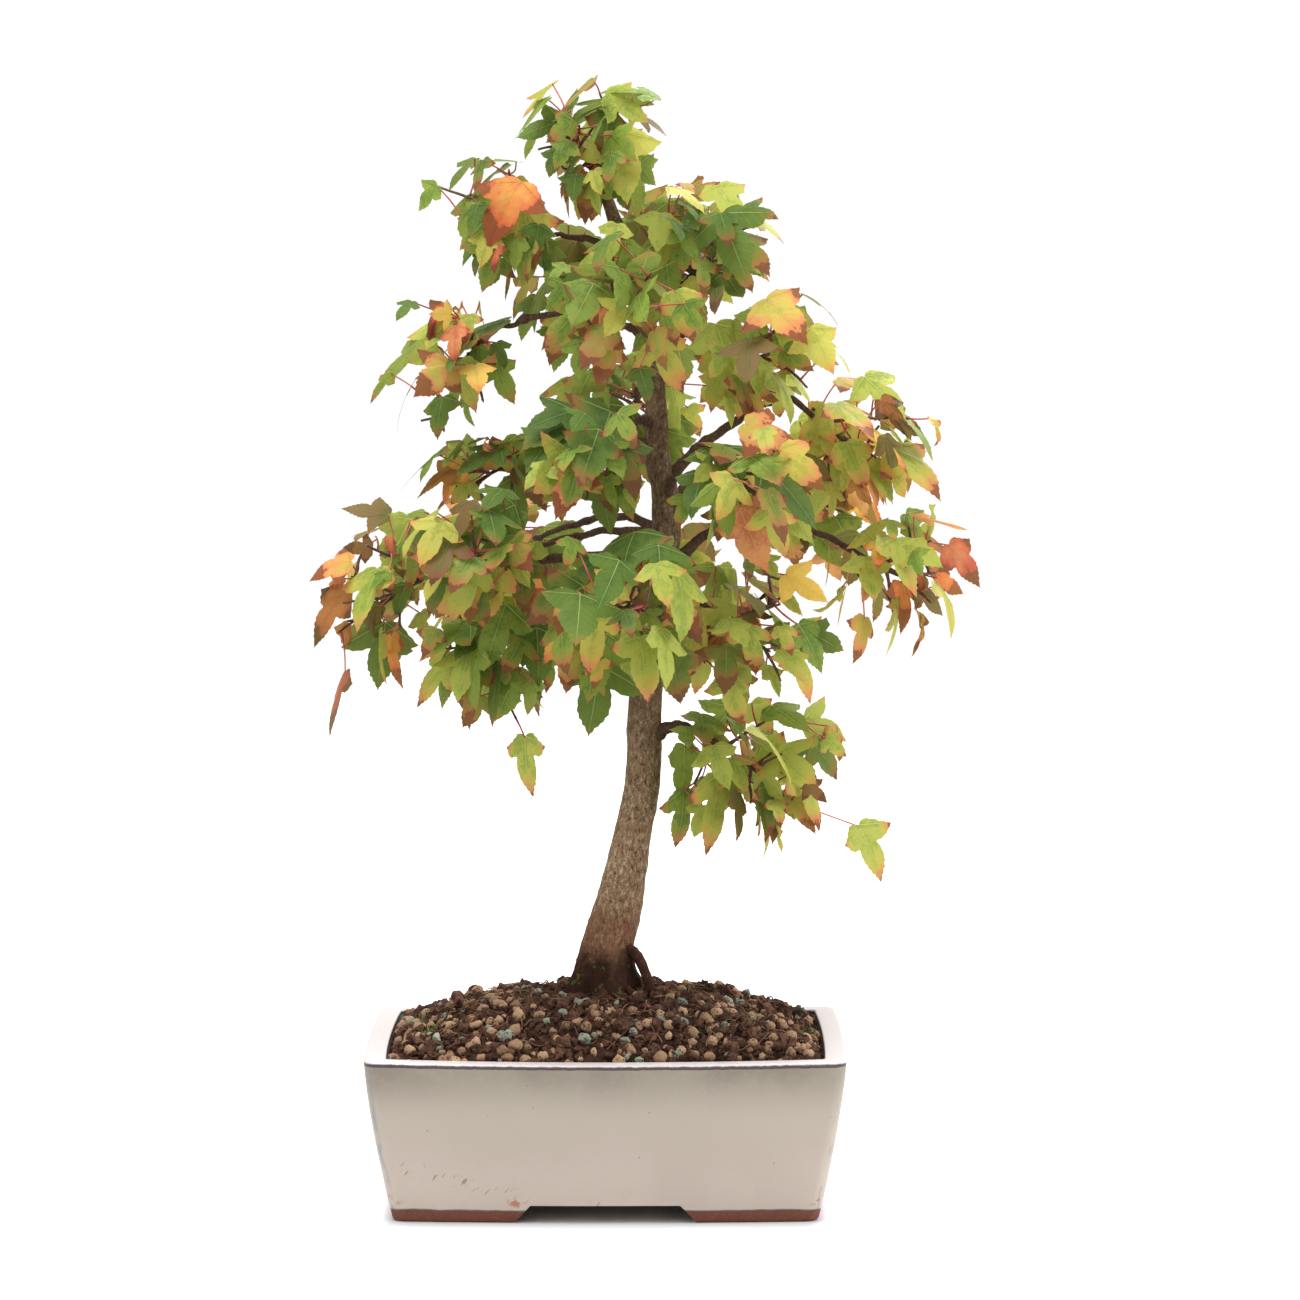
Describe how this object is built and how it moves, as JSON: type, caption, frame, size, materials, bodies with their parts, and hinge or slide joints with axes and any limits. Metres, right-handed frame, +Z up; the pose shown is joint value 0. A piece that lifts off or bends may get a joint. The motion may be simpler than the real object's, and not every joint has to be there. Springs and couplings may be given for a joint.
{
  "type": "bonsai trident maple in a pot",
  "caption": "Small trained maple with three-lobed leaves turning to autumn colours, in an oblong cream glazed pot on four feet, filled with granular soil.",
  "frame": {"origin": "on the ground, under the middle of the whole part's box; the middle of the pot is 17.8 mm towards -X from it", "axes": "+Z up, front towards -Y, +X to the right seen from the front; the long sides of the pot run along X"},
  "size_m": [0.3413, 0.2858, 0.5634],
  "materials": {
    "glaze": "cream glaze over brown stoneware, bare on the feet",
    "soil": "dark peat with tan and grey-green grains",
    "bark": "grey-brown bark, redder at the foot",
    "leaf": "green to yellow-green leaves, some orange, red or brown at the edges"
  },
  "bodies": {
    "root": {"bough_back_high": "bark", "bough_back_left": "bark", "bough_back_low": "bark", "bough_back_mid": "bark", "bough_back_right": "bark", "bough_back_upper": "bark", "bough_far_left": "bark", "bough_front_high": "bark", "bough_front_left": "bark", "bough_front_low": "bark", "bough_front_mid": "bark", "bough_front_right": "bark", "bough_left_low": "bark", "bough_left_mid": "bark", "bough_left_upper": "bark", "bough_lower_right": "bark", "bough_right_high": "bark", "bough_right_low": "bark", "bough_right_mid": "bark", "bough_right_outer": "bark", "bough_upper_left": "bark", "bough_upper_right": "bark", "foliage_apex": "leaf", "foliage_back_high": "leaf", "foliage_back_left": "leaf", "foliage_back_low": "leaf", "foliage_back_mid": "leaf", "foliage_back_right": "leaf", "foliage_back_upper": "leaf", "foliage_far_left": "leaf", "foliage_front_high": "leaf", "foliage_front_left": "leaf", "foliage_front_low": "leaf", "foliage_front_mid": "leaf", "foliage_front_right": "leaf", "foliage_left_low": "leaf", "foliage_left_mid": "leaf", "foliage_left_upper": "leaf", "foliage_lower_right": "leaf", "foliage_right_high": "leaf", "foliage_right_low": "leaf", "foliage_right_mid": "leaf", "foliage_right_outer": "leaf", "foliage_upper_left": "leaf", "foliage_upper_right": "leaf", "pot": "glaze", "soil": "soil", "trunk": "bark"}
  },
  "joints": []
}
